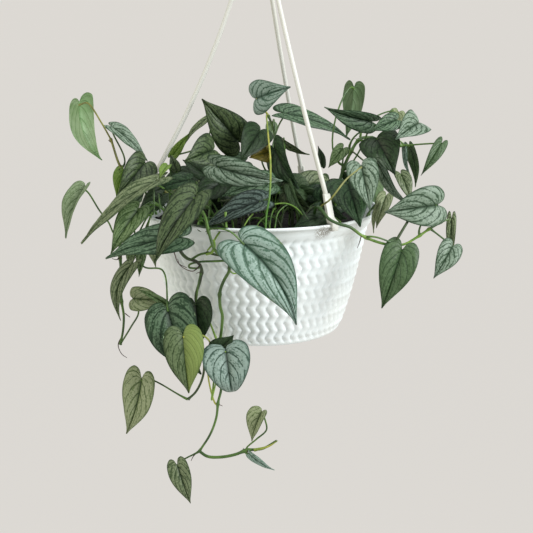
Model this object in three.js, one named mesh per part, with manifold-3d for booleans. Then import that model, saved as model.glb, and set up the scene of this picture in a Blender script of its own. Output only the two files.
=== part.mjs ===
// A trailing silver leaf philodendron in a white hanging pot, carried by three moulded arms below a hooked hub.
// Millimetres, +Z up. The origin is the inside crown of the hook, which the whole thing hangs from.
import * as THREE from "three";
import { mergeVertices } from "three/addons/utils/BufferGeometryUtils.js";
import Module from "manifold-3d";

// Driving dimensions.
const GAP = 0.3;
const RIM_DROP = 345;

const POT = {
  rimRadius: 125,
  height: 129,
  wall: 2.2,
  lipWidth: 3.2,
  lipDepth: 3,
  neckRadius: 118.3,
  shoulderRadius: 109.5,
  shoulderDepth: 37,
  heelRadius: 91,
  heelDepth: 111,
  footRadius: 74,
  segments: 48,
  drainHoles: 5,
  drainRadius: 4,
  drainCircle: 46,
};
const SOIL = { drop: 14, crown: 4 };
const HOOK = { rod: 2.6, innerRadius: 12, neckDrop: 40, tipAngle: 205 };
const HUB = { topDrop: 56, bottomDrop: 70, topRadius: 7, bottomRadius: 13 };
const ARM = { rod: 2.5, topRadius: 6, topDrop: 62 };
const ARMS = {
  right: { azimuth: -54.5, bow: 4 },
  back: { azimuth: 65.5, bow: 4 },
  left: { azimuth: 185.5, bow: 12 },
};
const CLIP = {
  width: 7.5,
  height: 28,
  topRadius: 111,
  innerRadius: 117,
  thickness: 3,
  legThickness: 2.2,
  toeDepth: 6.2,
};
const BLADE = { thickness: 1, across: 4, along: 8 };
const STALK = { radius: 0.9, sides: 4, steps: 4 };
const VINE_SIDES = 6;

// One half of a leaf's outline, from the notch round the lobe to the drip tip, for a blade that is 1 long from
// its heart to its tip. Each pair is a place across the leaf and along it.
const OUTLINE = [
  [0.02, -0.01],
  [0.12, -0.13],
  [0.25, -0.13],
  [0.35, 0],
  [0.37, 0.2],
  [0.34, 0.42],
  [0.25, 0.65],
  [0.11, 0.87],
  [0.012, 1],
];

// The plant, measured from the middle of the pot's rim. A stem is one or more routes, the first out of the
// soil. A leaf leaves a route, the first unless it says which, at a share of its length. Its blade runs from
// heart to tip, and turn rolls the blade about that line, away from facing the front. width and fold shape it,
// lean bows its middle sideways, and via is the way its stalk goes where that isn't direct.
const PLANT = {
  tall_left: {
    radius: 1.5,
    routes: [[[-66, -30, -40], [-72, -32, 0], [-95, -38, 22], [-118, -40, 34], [-135, -40, 43], [-147, -36, 74]]],
    leaves: [
      { at: 1, heart: [-179, -20, 111], tip: [-155, -38, 52], turn: 196, width: 0.65, lean: -0.09 },
      { at: 0.8, heart: [-141, -30, 81], tip: [-113, -45, 56], turn: -72, width: 0.55 },
      { at: 0.6, heart: [-112, -48, 52], tip: [-138, -72, 22], turn: -15, width: 0.85 },
      { at: 0.35, heart: [-98, -82, 39], tip: [-169, -105, -19], turn: 50, width: 0.5 },
    ],
  },
  left_low: {
    radius: 1.5,
    routes: [[[-86, -52, -40], [-90, -56, 0], [-104, -64, 14], [-120, -72, 4], [-132, -80, -12], [-135, -84, -30],
      [-134, -87, -43], [-134, -89, -78], [-132, -91, -93], [-133, -92, -108], [-136, -93, -122]]],
    leaves: [
      { at: 0.28, heart: [-171, -60, 32], tip: [-187, -85, -17], turn: -35, width: 0.6, fold: 0.4, lean: 0.09 },
      { at: 0.3, heart: [-115, -90, 13], tip: [-140, -112, -27], turn: 20, width: 0.7 },
      { at: 0.5, heart: [-122, -104, -39], tip: [-133, -106, -92], turn: 15, width: 0.42, lean: 0.12 },
      { at: 1, heart: [-118, -97, -81], tip: [-90, -100, -80], turn: 0, width: 1.05 },
      { at: 0.42, heart: [-87, -118, -77], tip: [-55, -120, -144], turn: 0, width: 0.9,
        via: [[-112, -94, -42], [-91, -108, -44]] },
    ],
  },
  second: {
    radius: 1.5,
    routes: [[[-66, -72, -40], [-70, -80, 0], [-78, -98, 10], [-80, -108, 2], [-74, -110, -14], [-73, -110, -25],
      [-67, -112, -31], [-58, -113, -34], [-54, -113, -40], [-55, -110, -51], [-60, -106, -70], [-58, -100, -94],
      [-54, -100, -124], [-54, -102, -150], [-61, -106, -166], [-69, -110, -173]]],
    leaves: [
      { at: 0.5, heart: [-57, -114, -74], tip: [-52, -116, -115], turn: 30, width: 0.8 },
      { at: 1, heart: [-117, -110, -156], tip: [-130, -112, -207], turn: 10, width: 0.85 },
      { at: 0.3, heart: [-72, -124, -8], tip: [-143, -126, -28], turn: 45, width: 0.75 },
    ],
  },
  front: {
    radius: 1.5,
    routes: [
      [[-54, -78, -40], [-56, -84, 0], [-55, -98, 13], [-50, -114, 10], [-45, -126, -6], [-40, -130, -19],
        [-34, -131, -24], [-28, -130, -29], [-27, -128, -39], [-32, -126, -49], [-36, -124, -61], [-36, -122, -75],
        [-34, -121, -85], [-35, -120, -99], [-37, -118, -115], [-37, -116, -140], [-36, -116, -160],
        [-39, -118, -173], [-41, -118, -189], [-47, -118, -206], [-58, -118, -224]],
      [[-59, -118, -223], [-50, -121, -228], [-37, -123, -228], [-23, -124, -225], [-11, -125, -220],
        [4, -126, -218], [18, -128, -209]],
    ],
    leaves: [
      { at: 0.13, heart: [4, -92, 20], tip: [-50, -76, -4], turn: 55, width: 0.6 },
      { at: 0.28, heart: [-16, -138, -9], tip: [36, -146, -87], turn: 0, width: 0.72, lean: -0.09,
        via: [[-35, -133, 2], [-25, -138, 0]] },
      { at: 0.64, heart: [-34, -134, -116], tip: [-23, -172, -141], turn: 0, width: 1.1 },
      { at: 0.84, heart: [-71, -136, -99], tip: [-66, -138, -157], turn: 0, width: 0.85,
        via: [[-40, -109, -160], [-42, -112, -146], [-44, -124, -116], [-54, -135, -101]] },
      { at: 1, heart: [-80, -120, -237], tip: [-67, -125, -276], turn: 0, width: 0.7 },
      { from: 1, at: 0.62, heart: [3, -125, -178], tip: [-6, -130, -209], turn: 0, width: 0.6,
        via: [[-2, -127, -208], [8, -125, -199], [7, -124, -190]] },
      { from: 1, at: 0.58, heart: [-8, -128, -223], tip: [16, -132, -238], turn: 30, width: 0.45 },
      { at: 0.18, heart: [-58, -118, 31], tip: [-95, -150, -27], turn: 30, width: 0.66 },
    ],
  },
  right: {
    radius: 1.5,
    routes: [[[52, -70, -40], [54, -76, 0], [56, -90, 14], [60, -106, 15], [67, -117, 8], [75, -118, 4],
      [87, -116, 0], [99, -112, -9], [122, -108, -18], [139, -104, -19], [152, -100, -13], [165, -96, -5]]],
    leaves: [
      { at: 0.66, heart: [137, -112, -22], tip: [118, -120, -78], turn: 0, width: 0.8 },
      { at: 0.94, heart: [172, -96, 18], tip: [120, -104, 12], turn: 0, width: 0.95 },
      { at: 1, heart: [187, -86, 3], tip: [189, -84, -41], turn: 20, width: 0.3 },
      { at: 1, heart: [187, -98, -22], tip: [168, -110, -51], turn: 0, width: 0.85 },
      { at: 0.36, heart: [99, -82, 54], tip: [106, -110, 15], turn: 0, width: 0.85,
        via: [[68, -108, 25], [84, -98, 43]] },
    ],
  },
  upper_right: {
    radius: 1.7,
    routes: [[[72, -30, -40], [76, -32, 0], [82, -28, 30], [92, -20, 56], [104, -14, 72], [124, -6, 70],
      [147, 0, 63]]],
    leaves: [
      { at: 0.9, heart: [165, -36, 84], tip: [132, -75, 77], turn: -12, width: 0.98 },
      { at: 1, heart: [185, -20, 68], tip: [163, -35, 37], turn: 0, width: 0.45 },
      { at: 0.7, heart: [121, -40, 77], tip: [149, -60, 34], turn: 0, width: 0.85 },
      { at: 0.5, heart: [109, -30, 90], tip: [59, -40, 106], turn: -30, width: 0.55 },
      { at: 0.98, heart: [157, 10, 60], tip: [163, 5, 19], turn: 50, width: 0.5, lean: -0.15 },
      { at: 0.52, heart: [93, 0, 120], tip: [90, -10, 65], turn: 180, width: 0.55 },
      { at: 0.3, heart: [88, -56, 34], tip: [97, -110, -1], turn: 0, width: 0.9 },
      { at: 0.62, heart: [116, -72, 55], tip: [147, -88, 14], turn: 60, width: 0.5,
        via: [[108, -36, 50], [112, -62, 50]] },
      { at: 0.8, heart: [141, -50, 41], tip: [150, -62, 15], turn: -20, width: 0.75 },
    ],
  },
  upper_mid: {
    radius: 1.6,
    routes: [[[6, -12, -40], [7, -12, 0], [12, -6, 35], [18, 0, 63], [14, 4, 83], [10, 8, 93]]],
    leaves: [
      { at: 1, heart: [-3, 10, 110], tip: [32, -30, 125], turn: 0, width: 0.85 },
      { at: 0.6, heart: [26, 0, 96], tip: [95, 10, 68], turn: -50, width: 0.5 },
      { at: 0.55, heart: [2, -20, 81], tip: [-18, -60, 54], turn: 0, width: 0.8 },
      { at: 0.45, heart: [16, -35, 65], tip: [40, -60, 28], turn: 50 },
      { at: 0.35, heart: [-40, -95, 55], tip: [24, -75, 38], turn: 30, width: 0.6 },
      { at: 0.4, heart: [11, -60, 34], tip: [-32, -72, 27], turn: 40, width: 0.7 },
    ],
  },
  upper_left: {
    radius: 1.6,
    routes: [[[-48, -12, -40], [-50, -12, 0], [-52, -10, 25], [-58, -8, 45], [-62, -6, 60]]],
    leaves: [
      { at: 0.8, heart: [-20, -5, 67], tip: [-57, -15, 112], turn: 0, width: 0.9 },
      { at: 0.7, heart: [-44, -50, 65], tip: [-71, -85, 58], turn: 0 },
      { at: 1, heart: [-89, 5, 52], tip: [-70, 0, 77], turn: 0, width: 0.45 },
    ],
  },
  back: {
    radius: 1.6,
    routes: [[[-10, 60, -40], [-12, 70, 0], [-14, 100, 13], [-16, 124, 8], [-18, 136, -10], [-16, 134, -50],
      [-8, 126, -100], [4, 118, -140], [8, 114, -170]]],
    leaves: [
      { at: 0.42, heart: [-42, 132, 20], tip: [-84, 148, -34], turn: 200 },
      { at: 0.5, heart: [14, 146, -50], tip: [34, 152, -112], turn: 170 },
    ],
  },
};

const wasm = await Module();
wasm.setup();

const MATERIALS = {
  plastic: new THREE.MeshStandardMaterial({ color: 0xeceeea, roughness: 0.45, metalness: 0 }),
  soil: new THREE.MeshStandardMaterial({ color: 0x2a211a, roughness: 0.95, metalness: 0 }),
  stem: new THREE.MeshStandardMaterial({ color: 0x6d9636, roughness: 0.5, metalness: 0 }),
  leaf: new THREE.MeshStandardMaterial({ color: 0x6f9383, roughness: 0.45, metalness: 0 }),
};

const degrees = THREE.MathUtils.degToRad;
const vector = ([x, y, z]) => new THREE.Vector3(x, y, z);

// A three.js geometry as a solid that can be joined and cut.
function solidOf(geometry) {
  const bare = geometry.index ? geometry.toNonIndexed() : geometry.clone();
  bare.deleteAttribute("normal");
  bare.deleteAttribute("uv");
  const merged = mergeVertices(bare, 1e-4);
  return new wasm.Manifold(
    new wasm.Mesh({
      numProp: 3,
      vertProperties: merged.attributes.position.array,
      triVerts: new Uint32Array(merged.index.array),
    }),
  );
}

function geometryOf(solid) {
  const mesh = solid.getMesh();
  const geometry = new THREE.BufferGeometry();
  geometry.setAttribute("position", new THREE.BufferAttribute(mesh.vertProperties, 3));
  geometry.setIndex(new THREE.BufferAttribute(mesh.triVerts, 1));
  geometry.computeVertexNormals();
  return geometry;
}

// A closed tube of a few flat sides along a curve.
function tube(curve, radius, sides, steps) {
  const section = new THREE.Shape();
  for (let i = 0; i < sides; i += 1) {
    const angle = (i / sides) * 2 * Math.PI;
    section[i ? "lineTo" : "moveTo"](radius * Math.cos(angle), radius * Math.sin(angle));
  }
  section.closePath();
  return new THREE.ExtrudeGeometry(section, { steps, extrudePath: curve, curveSegments: 1 });
}

// The pot is a solid of revolution: up the inside, over the lip, down the outside and under the base.
function potGeometry() {
  const { rimRadius, lipWidth, lipDepth, neckRadius, shoulderRadius, shoulderDepth, wall } = POT;
  const outside = [
    [rimRadius, 0],
    [rimRadius, -lipDepth],
    [rimRadius - 4.5, -lipDepth - 0.6],
    [neckRadius + 0.7, -6],
    [neckRadius, -9],
    [113.5, -18],
    [shoulderRadius, -shoulderDepth],
    [101.5, -73],
    [POT.heelRadius + 3, -101],
    [POT.heelRadius - 3.5, -120],
    [POT.heelRadius - 8.5, -126.5],
    [POT.footRadius, -POT.height],
  ];
  const inside = [
    [POT.footRadius - 1, -POT.height + wall],
    [POT.heelRadius - 10.5, -124],
    [POT.heelRadius - 6, -119],
    [POT.heelRadius + 0.7, -101],
    [101.5 - wall, -73],
    [shoulderRadius - wall, -shoulderDepth],
    [113.5 - wall, -18],
    [neckRadius - wall, -8],
    [rimRadius - lipWidth, -2],
    [rimRadius - lipWidth, 0],
  ];
  const profile = [[0, -POT.height + wall], ...inside, ...outside, [0, -POT.height]];
  const points = profile.map(([r, z]) => new THREE.Vector2(r, z)).reverse();
  return new THREE.LatheGeometry(points, POT.segments).rotateX(Math.PI / 2);
}

function pot() {
  let body = solidOf(potGeometry());
  for (let i = 0; i < POT.drainHoles; i += 1) {
    const angle = (i / POT.drainHoles) * 2 * Math.PI;
    const drill = new THREE.CylinderGeometry(POT.drainRadius, POT.drainRadius, 12, 12).rotateX(Math.PI / 2);
    drill.translate(POT.drainCircle * Math.cos(angle), POT.drainCircle * Math.sin(angle), -POT.height);
    body = body.subtract(solidOf(drill));
  }
  return geometryOf(body);
}

// The soil fills the pot to below the rim, a little crowned, and each stem goes down into it through a hole.
function soil(stems) {
  const gap = GAP + POT.wall;
  const profile = [
    [0, -SOIL.drop + SOIL.crown],
    [60, -SOIL.drop + SOIL.crown - 1],
    [100, -SOIL.drop],
    [113.8 - gap, -SOIL.drop - 3],
    [POT.shoulderRadius - gap - 0.1, -POT.shoulderDepth],
    [POT.heelRadius + 0.3, -101],
    [POT.footRadius - 3, -POT.height + gap + 1],
    [0, -POT.height + gap],
  ];
  const points = profile.map(([r, z]) => new THREE.Vector2(r, z)).reverse();
  let body = solidOf(new THREE.LatheGeometry(points, POT.segments).rotateX(Math.PI / 2));
  for (const { curve, radius } of stems) {
    const hole = tube(curve, radius + GAP / Math.cos(Math.PI / VINE_SIDES), VINE_SIDES, stemSteps(curve));
    body = body.subtract(solidOf(hole));
  }
  return geometryOf(body);
}

const hookCentre = new THREE.Vector3(0, 0, -HOOK.innerRadius);

// The hub is a small cone with a socket for each arm, and its rod rises from it and bends over into the hook.
function hub(arms) {
  const ring = HOOK.innerRadius + HOOK.rod;
  const route = [[0, 0, -HUB.topDrop - 4], [0, 0, -HOOK.neckDrop], [8, 0, -28]].map(vector);
  for (let angle = -10; angle <= HOOK.tipAngle; angle += 21.5) {
    const around = new THREE.Vector3(Math.cos(degrees(angle)), 0, Math.sin(degrees(angle)));
    route.push(hookCentre.clone().addScaledVector(around, ring));
  }
  const rod = tube(new THREE.CatmullRomCurve3(route), HOOK.rod, 8, 34);
  const cone = new THREE.CylinderGeometry(HUB.topRadius, HUB.bottomRadius, HUB.bottomDrop - HUB.topDrop, 24);
  cone.rotateX(Math.PI / 2).translate(0, 0, -(HUB.topDrop + HUB.bottomDrop) / 2);
  let body = solidOf(cone).add(solidOf(rod));
  for (const shape of arms) {
    body = body.subtract(solidOf(tube(armCurve(shape, ARM.topDrop - GAP), ARM.rod + GAP, 8, 10)));
  }
  return geometryOf(body);
}

// The line of an arm in its own upright plane, from inside the hub's socket to the top of the clip.
function armCurve({ azimuth, bow }, topDrop = ARM.topDrop) {
  const angle = degrees(azimuth);
  const at = (radius, z) => new THREE.Vector3(radius * Math.cos(angle), radius * Math.sin(angle), z);
  const top = at(ARM.topRadius, -topDrop);
  const foot = at(CLIP.topRadius + CLIP.thickness / 2 + 0.8, CLIP.height - RIM_DROP - 4);
  const middle = top.clone().add(foot).multiplyScalar(0.5);
  middle.add(at(-2 * bow, 0));
  return new THREE.QuadraticBezierCurve3(top, middle, foot);
}

// The clip is a flat blade that slants down to the pot's lip, crosses it, goes down outside and turns in under it.
function clip(azimuth) {
  const { height, topRadius, thickness, innerRadius, legThickness, toeDepth } = CLIP;
  const outer = POT.rimRadius + GAP;
  const profile = [
    [topRadius, height],
    [innerRadius, 4],
    [innerRadius + 1.8, GAP],
    [outer, GAP],
    [outer, -POT.lipDepth - 0.9],
    [POT.rimRadius - 3.6, -POT.lipDepth - 0.9],
    [POT.rimRadius - 3.6, -toeDepth],
    [outer + legThickness, -toeDepth],
    [outer + legThickness, 2.5],
    [innerRadius + thickness + 1.2, 6],
    [topRadius + thickness, height],
  ];
  const shape = new THREE.Shape(profile.map(([r, z]) => new THREE.Vector2(r, z)));
  const plate = new THREE.ExtrudeGeometry(shape, { depth: CLIP.width, bevelEnabled: false });
  plate.translate(0, 0, -CLIP.width / 2).rotateX(Math.PI / 2);
  return plate.rotateZ(degrees(azimuth)).translate(0, 0, -RIM_DROP);
}

function arm(shape) {
  const rod = solidOf(tube(armCurve(shape), ARM.rod, 8, 10));
  return geometryOf(rod.add(solidOf(clip(shape.azimuth))));
}

// The leaf's own axes: across the blade, along it from heart to tip, and out of its upper face.
function leafAxes({ heart, tip, turn }) {
  const along = vector(tip).sub(vector(heart));
  const length = along.length();
  along.divideScalar(length);
  const front = new THREE.Vector3(0, -Math.cos(degrees(10)), Math.sin(degrees(10)));
  const face = front.addScaledVector(along, -front.dot(along)).normalize();
  face.applyAxisAngle(along, degrees(turn));
  const across = along.clone().cross(face);
  return { along, face, across, length };
}

const outline = new THREE.CatmullRomCurve3(OUTLINE.map(([x, y]) => new THREE.Vector3(x, y, 0)), false, "centripetal");

// Where the middle vein is for a share of the way round the outline: it waits at the heart while the lobe is drawn.
function veinAt(share) {
  const lobe = 0.3;
  return share < lobe ? 0.05 * (share / lobe) : 0.05 + 0.95 * ((share - lobe) / (1 - lobe)) ** 1.15;
}

// A blade is a thin box whose points are carried onto the leaf: arched along its length and folded at the vein.
function blade(leaf) {
  const { along, face, across, length } = leafAxes(leaf);
  const { width = 1, arch = 0.07, fold = 0.18, lean = 0 } = leaf;
  const heart = vector(leaf.heart);
  const box = new THREE.BoxGeometry(2, 1, 1, BLADE.across, BLADE.along, 1);
  const position = box.attributes.position;
  for (let i = 0; i < position.count; i += 1) {
    const side = position.getX(i);
    const share = position.getY(i) + 0.5;
    const edge = outline.getPoint(share);
    const vein = veinAt(share);
    const y = vein + Math.abs(side) * (edge.y - vein);
    const half = side * edge.x * width;
    const bow = 4 * y * (1 - y);
    const rise = (arch * bow + fold * Math.abs(half)) * length + position.getZ(i) * BLADE.thickness;
    const place = heart.clone().addScaledVector(across, (half + lean * bow) * length);
    place.addScaledVector(along, y * length).addScaledVector(face, rise);
    position.setXYZ(i, place.x, place.y, place.z);
  }
  return box;
}

// The stalk starts just clear of its stem and comes up under the blade into its vein, just past the heart.
function stalkCurve(leaf, curve, radius) {
  const { along, face, across, length } = leafAxes(leaf);
  const { arch = 0.07, lean = 0 } = leaf;
  const end = vector(leaf.heart).addScaledVector(along, 0.045 * length);
  end.addScaledVector(face, 0.17 * arch * length + 0.1).addScaledVector(across, 0.17 * lean * length);
  const start = curve.getPointAt(leaf.at);
  const tangent = curve.getTangentAt(leaf.at);
  const towards = vector(leaf.via ? leaf.via[0] : leaf.heart).sub(start);
  const out = towards.addScaledVector(tangent, -towards.dot(tangent)).normalize();
  start.addScaledVector(out, radius + 1.2 * GAP);
  if (leaf.via) {
    const leaving = start.clone().addScaledVector(out, 2.5);
    return new THREE.CatmullRomCurve3([start, leaving, ...leaf.via.map(vector), end], false, "centripetal");
  }
  const reach = start.distanceTo(end);
  const leaving = start.clone().addScaledVector(out, 0.4 * reach);
  const arriving = end.clone().addScaledVector(face, -0.25 * reach).addScaledVector(along, -0.15 * reach);
  return new THREE.CubicBezierCurve3(start, leaving, arriving, end);
}

function leaf(spec, curve, radius) {
  const steps = spec.via ? 2 * spec.via.length + 2 : STALK.steps;
  const stalk = tube(stalkCurve(spec, curve, radius), STALK.radius, STALK.sides, steps);
  return geometryOf(solidOf(blade(spec)).add(solidOf(stalk)));
}

const stemSteps = (curve) => Math.round(1.6 * curve.points.length);

function stemCurve(route) {
  return new THREE.CatmullRomCurve3(route.map(vector), false, "centripetal");
}

function stem(curves, radius) {
  const tubes = curves.map((curve) => solidOf(tube(curve, radius, VINE_SIDES, stemSteps(curve))));
  return geometryOf(tubes.reduce((whole, next) => whole.add(next)));
}

function named(name, geometry, material) {
  const mesh = new THREE.Mesh(geometry, MATERIALS[material]);
  mesh.name = name;
  return mesh;
}

const rimLevel = new THREE.Group();
rimLevel.position.z = -RIM_DROP;
rimLevel.add(named("pot", pot(), "plastic"));
const buried = [];
for (const [name, { radius, routes, leaves }] of Object.entries(PLANT)) {
  const curves = routes.map(stemCurve);
  rimLevel.add(named(`vine_${name}`, stem(curves, radius), "stem"));
  buried.push({ curve: curves[0], radius });
  leaves.forEach((spec, i) => {
    rimLevel.add(named(`leaf_${name}_${i + 1}`, leaf(spec, curves[spec.from ?? 0], radius), "leaf"));
  });
}
rimLevel.add(named("soil", soil(buried), "soil"));

const hanger = new THREE.Group();
hanger.add(named("hanger_hub", hub(Object.values(ARMS)), "plastic"));
for (const [side, shape] of Object.entries(ARMS)) {
  hanger.add(named(`hanger_arm_${side}`, arm(shape), "plastic"));
}

const basket = new THREE.Group();
basket.add(rimLevel, hanger);
export default basket;
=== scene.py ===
"""A trailing silver leaf philodendron in a white hanging pot, laid out as an add-on.

Tables hold millimetres. The plant is measured from the middle of the pot's rim, the hanger from the
crown of its hook, which is the origin of the scene.
"""

import math
import random

import bmesh
import bpy
from bpy.props import FloatProperty, FloatVectorProperty, IntProperty, PointerProperty
from mathutils import Matrix, Vector, noise


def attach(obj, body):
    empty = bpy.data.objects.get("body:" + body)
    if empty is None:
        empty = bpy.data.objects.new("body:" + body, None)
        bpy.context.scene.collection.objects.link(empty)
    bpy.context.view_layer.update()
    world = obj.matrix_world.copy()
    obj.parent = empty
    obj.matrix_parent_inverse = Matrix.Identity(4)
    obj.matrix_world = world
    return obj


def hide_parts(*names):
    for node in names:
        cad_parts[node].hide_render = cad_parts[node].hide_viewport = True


bl_info = {
    "name": "Hanging silver leaf plant",
    "version": (1, 0, 0),
    "blender": (4, 5, 0),
    "location": "View3D > Sidebar > Hanging plant",
    "description": "Builds a trailing plant with silver leaves in a white hanging pot",
    "category": "Add Mesh",
}

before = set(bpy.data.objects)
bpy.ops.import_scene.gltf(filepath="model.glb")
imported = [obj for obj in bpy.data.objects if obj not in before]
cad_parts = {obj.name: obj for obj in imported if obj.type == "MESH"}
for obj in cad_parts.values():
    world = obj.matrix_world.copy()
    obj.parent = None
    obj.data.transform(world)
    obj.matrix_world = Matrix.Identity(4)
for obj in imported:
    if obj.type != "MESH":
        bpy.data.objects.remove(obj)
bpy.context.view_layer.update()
MM = 0.001
# Points closer than the first are one point; a profile's row nearer the axis than the second is on it.
SEAM = 1e-4
AXIS = 0.02
RIM_DROP = 345
RIM = Vector((0, 0, -RIM_DROP))
CROWN = Vector()

# Radius and height of the pot's outside, from under its lip to its foot.
POT_OUTSIDE = [
    (120.5, -3.6), (119, -6), (118.3, -9), (113.5, -18), (109.5, -37), (101.5, -73), (94, -101),
    (87.5, -120), (82.5, -126.5), (74, -129),
]
POT_INSIDE = [
    (73, -126.8), (80.5, -124), (85, -119), (91.7, -101), (99.3, -73), (107.3, -37), (111.3, -18),
    (116.1, -8), (121.4, -2.6), (121.8, -1.2),
]
POT_LIP = [(122.2, -0.4), (123, 0), (124.2, 0), (124.9, -0.6), (125, -1.5), (124.8, -2.6), (123.6, -3.2)]
# How far under the rim the ribs rise from the plain band, and how far they go back to the plain foot.
RIBS_TOP = (12.5, 16.5)
RIBS_FOOT = (124.5, 121)
# The soil's side and bottom, from the wall to the middle.
SOIL_UNDER = [(111, -17), (108.6, -26), (107, -37), (99, -73), (91.3, -101), (71, -125.5), (0.01, -126.5)]
DRAIN_CIRCLE = 46
DRAIN_RADIUS = 4
DRAIN_HOLES = 5

HOOK_RADIUS = 14.6
HOOK_ROD = 2.6
HUB_PROFILE = [
    (0.01, -56), (5.6, -56), (6.6, -56.4), (7.2, -57.4), (12.6, -68), (13, -69), (12.6, -69.7),
    (11.8, -70), (0.01, -70),
]
ARM_ROD = 2.3
# Each arm's azimuth, and how far it sags.
ARMS = {"right": (-54.5, 4), "back": (65.5, 4), "left": (185.5, 12)}
CLIP_WIDTH = 7.5
CLIP_PROFILE = [
    (111, 28), (117, 4), (118.8, 0.3), (125.3, 0.3), (125.3, -3.9), (121.4, -3.9), (121.4, -6.2),
    (127.5, -6.2), (127.5, 2.5), (121.2, 6), (114, 28),
]

# In metres: the floor, from its middle to a wall that rises all round, then what the lights aim at, and the
# camera, with its lens in millimetres and its pitch in degrees.
BOWL = [(0.01, -3), (14, -3), (18, -2.7), (21, -1.9), (23, -0.3), (24, 1.4), (24.2, 3)]
LIGHTS_AIM = Vector((0, 0, -0.35))
CAMERA_LENS = 77.81
CAMERA_PLACE = (0.0081, -1.1822, -0.1387)
CAMERA_PITCH = 77.1

# Half of a leaf's outline for a blade 1 long, from the notch round the lobe to the drip tip.
OUTLINE = [
    (0.01, -0.005), (0.075, -0.12), (0.2, -0.155), (0.33, -0.06), (0.375, 0.14), (0.345, 0.36), (0.25, 0.58),
    (0.125, 0.78), (0.045, 0.91), (0.01, 1),
]
# Share of the outline that goes round the lobe.
LOBE_SHARE = 0.3
# Veins of half a blade, and how far forward each sweeps, as a share of the way round the outline.
VEIN_COUNT = 6.5
VEIN_SWEEP = 0.4
SWEEP_POWER = 1.2


def colour(red, green, blue):
    """A screen colour out of 255 as the linear one that a shader takes."""
    return tuple((c / 255) ** 2.2 for c in (red, green, blue)) + (1.0,)


def palette(rows):
    """The rows with each screen colour in them made ready for a shader."""
    return {name: [colour(*cell) if isinstance(cell, tuple) else cell for cell in row]
            for name, row in rows.items()}


# Each finish of a blade's upper face: the silver panels, the green round them, the veins, how much of the
# blade is silver, how far the green spreads from the veins, and the finish of its underside.
LOOKS = palette({
    "bright": ((140, 160, 150), (66, 90, 78), (34, 54, 42), 0.85, 0.42, "under"),
    "silver": ((148, 171, 160), (78, 108, 90), (42, 68, 52), 0.8, 0.6, "under"),
    # This finish is the silver one darkened: painted shade for silver leaves that sit in shade.
    "frost": ((126, 144, 126), (56, 78, 56), (30, 50, 32), 0.8, 0.55, "under"),
    "sea": ((94, 118, 92), (38, 62, 40), (22, 44, 26), 0.7, 0.6, "under"),
    "slate": ((120, 134, 98), (50, 68, 42), (26, 42, 24), 0.85, 0.4, "under"),
    "olive": ((116, 128, 96), (60, 76, 46), (34, 50, 26), 0.75, 0.55, "under_olive"),
    "pale_olive": ((148, 158, 122), (98, 114, 72), (46, 64, 36), 0.85, 0.35, "under_olive"),
    "moss": ((110, 132, 90), (64, 88, 48), (38, 60, 30), 0.7, 0.5, "under_olive"),
    # This finish is the olive one darkened: painted shade for olive leaves that sit in shade.
    "dusk": ((80, 96, 64), (36, 52, 28), (22, 36, 18), 0.7, 0.5, "under_olive"),
    "night": ((88, 104, 97), (32, 46, 40), (16, 28, 23), 0.7, 0.75, "under"),
    "teal": ((64, 88, 60), (30, 52, 32), (16, 34, 18), 0.6, 0.5, "under"),
    "green": ((80, 102, 70), (56, 78, 48), (34, 56, 30), 0.65, 0.4, "under"),
    "grey_green": ((126, 144, 112), (96, 116, 80), (62, 84, 50), 0.7, 0.4, "under"),
    "dark": ((50, 70, 44), (30, 48, 26), (16, 32, 15), 0.6, 0.45, "under_dark"),
    "young": ((116, 142, 66), (92, 122, 50), (66, 98, 36), 0.5, 0.3, "under_young"),
    "young_back": ((122, 160, 106), (106, 148, 90), (78, 118, 64), 0.5, 0.3, "under_young"),
    "fading": ((124, 112, 42), (98, 92, 36), (72, 76, 30), 0.6, 0.3, "under_olive"),
    "two_tone": ((98, 114, 80), (54, 72, 40), (32, 50, 24), 0.8, 0.45, "under_young"),
})
# The yellow-green half of a two-tone blade, and the veins in it.
YELLOW_HALF = (colour(126, 144, 80), colour(76, 100, 44))
# An underside's panels, the green between them and its veins.
UNDERSIDES = palette({
    "under": ((104, 126, 92), (88, 112, 76), (66, 90, 54)),
    "under_dark": ((78, 100, 66), (62, 86, 50), (44, 66, 34)),
    "under_olive": ((112, 124, 86), (94, 108, 70), (70, 86, 50)),
    "under_young": ((150, 178, 138), (124, 156, 108), (84, 124, 66)),
})
# A stem's colour and its darker patches.
STEMS = palette({
    "stem_bright": ((128, 160, 66), (84, 122, 44)),
    "stem_right": ((128, 160, 66), (84, 122, 44)),
    "stem_yellow": ((168, 168, 78), (122, 142, 58)),
    "stem_tall": ((168, 168, 78), (122, 142, 58)),
    "stem_green": ((86, 118, 54), (54, 82, 38)),
    "stem_dark": ((60, 78, 44), (44, 48, 30)),
    "stem_olive": ((130, 132, 66), (92, 94, 42)),
    "root_brown": ((74, 50, 38), (46, 30, 24)),
})
# Where a finish turns into another colour: the axis, where it starts and ends in metres, and the colour.
FADES = {
    "stem_right": ("X", 0.105, 0.085, colour(50, 78, 36)),
    "stem_tall": ("Z", -0.285, -0.325, colour(74, 118, 40)),
}


def leaf(at, heart, tip, turn, look, route=0, via=(), stalk="stem_green", **shape):
    """A leaf leaves its stem's route at a share of its length. Its blade runs from heart to tip."""
    return {"at": at, "heart": heart, "tip": tip, "turn": turn, "look": look, "route": route, "via": via,
            "stalk": stalk, "shape": shape}


def stem(radius, look, *routes, leaves):
    """A trailing stem. Each route is the points along it, and the first one comes out of the soil."""
    return {"radius": radius, "look": look, "routes": routes, "leaves": leaves}


def sprig(root, *blade, **shape):
    """A leaf that the CAD model leaves out, and the point that its stalk starts from."""
    return root, leaf(0, *blade, **shape)


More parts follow.
